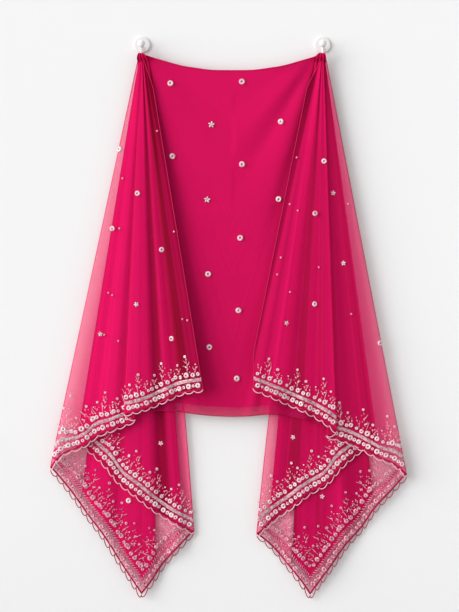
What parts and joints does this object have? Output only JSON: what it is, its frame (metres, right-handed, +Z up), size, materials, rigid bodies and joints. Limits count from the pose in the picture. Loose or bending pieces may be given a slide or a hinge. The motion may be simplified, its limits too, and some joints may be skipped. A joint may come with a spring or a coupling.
{
  "type": "dupatta stole hung on two wall hooks",
  "caption": "Sheer net dupatta with looped lace and beaded borders, hung by its long edge from a pair of round wall hooks.",
  "frame": {"origin": "on the wall plane, midway between the centres of the two hook plates", "axes": "+Z up, +X to the right along the wall as seen from the front, +Y into the wall; the cloth hangs on the -Y side"},
  "size_m": [0.9286, 0.0658, 1.465],
  "materials": {
    "net": "sheer soft net, slight sheen",
    "inner_layer": "dense matte cloth",
    "edging": "corded lace with open loops",
    "braid": "silver metal-thread braid",
    "hook_paint": "glossy white enamel"
  },
  "bodies": {
    "root": {"centre_net": "net", "centre_inner_layer": "inner_layer", "front_inner_net_left": "net", "front_inner_edging_left": "edging", "front_inner_braid_left": "braid", "front_pleat_net_left": "net", "front_pleat_edging_left": "edging", "front_outer_net_left": "net", "front_outer_edging_left": "edging", "front_outer_braid_left": "braid", "middle_net_left": "net", "middle_edging_left": "edging", "middle_braid_left": "braid", "back_net_left": "net", "back_edging_left": "edging", "back_braid_left": "braid", "gather_left": "net", "hook_plate_left": "hook_paint", "hook_rod_left": "hook_paint", "hook_ball_left": "hook_paint", "front_inner_net_right": "net", "front_inner_edging_right": "edging", "front_inner_braid_right": "braid", "front_pleat_net_right": "net", "front_pleat_edging_right": "edging", "front_outer_net_right": "net", "front_outer_edging_right": "edging", "front_outer_braid_right": "braid", "middle_net_right": "net", "middle_edging_right": "edging", "middle_braid_right": "braid", "back_net_right": "net", "back_edging_right": "edging", "back_braid_right": "braid", "gather_right": "net", "hook_plate_right": "hook_paint", "hook_rod_right": "hook_paint", "hook_ball_right": "hook_paint"}
  },
  "joints": []
}
